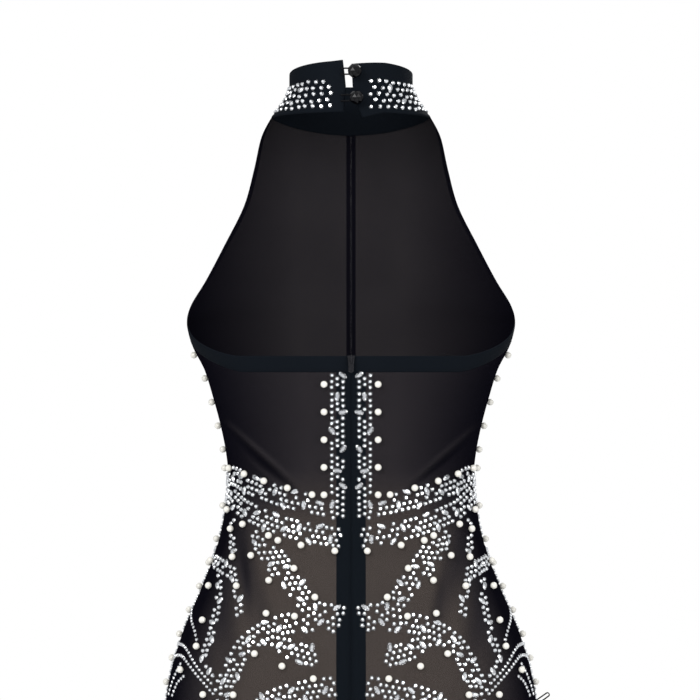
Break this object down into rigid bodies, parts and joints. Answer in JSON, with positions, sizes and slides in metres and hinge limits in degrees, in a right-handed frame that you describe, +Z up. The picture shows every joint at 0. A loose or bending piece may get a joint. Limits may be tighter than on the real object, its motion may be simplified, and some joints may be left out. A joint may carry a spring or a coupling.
{
  "type": "sheer mesh halter romper",
  "caption": "Sheer stretch mesh halter romper with a buttoned high collar, open back, centre-back zip, short legs and bands of stones and pearls.",
  "frame": {"origin": "middle of the collar, where the wearer's neck holds the garment up", "axes": "+Z up, the front faces -Y, the wearer's left side is +X"},
  "size_m": [0.341, 0.2287, 0.7155],
  "materials": {
    "sheer_mesh": "sheer black power mesh, matt",
    "opaque_jersey": "doubled black stretch jersey, slight sheen",
    "black_satin": "black satin cord and tape",
    "black_glass": "faceted glossy black",
    "black_metal": "black enamel, glossy",
    "silver_stone": "foil-backed faceted stones",
    "white_pearl": "pearl lustre"
  },
  "bodies": {
    "garment": {"front_left": "sheer_mesh", "front_right": "sheer_mesh", "back_left": "sheer_mesh", "back_right": "sheer_mesh", "back_edge_left": "opaque_jersey", "back_edge_right": "opaque_jersey", "centre_strip_left": "opaque_jersey", "centre_strip_right": "opaque_jersey", "collar_band": "opaque_jersey", "collar_button_top": "black_glass", "collar_button_low": "black_glass", "button_loop_top": "black_satin", "button_loop_low": "black_satin", "zip_slider": "black_metal", "hip_loop": "black_satin"},
    "pull_tab": {"zip_pull": "black_metal"}
  },
  "joints": [
    {"name": "zip_pull_hinge", "type": "hinge", "parent": "garment", "child": "pull_tab", "pos_m": [0, 0.10394, -0.237], "axis": [1, 0, 0], "range_deg": [0, 150]}
  ]
}
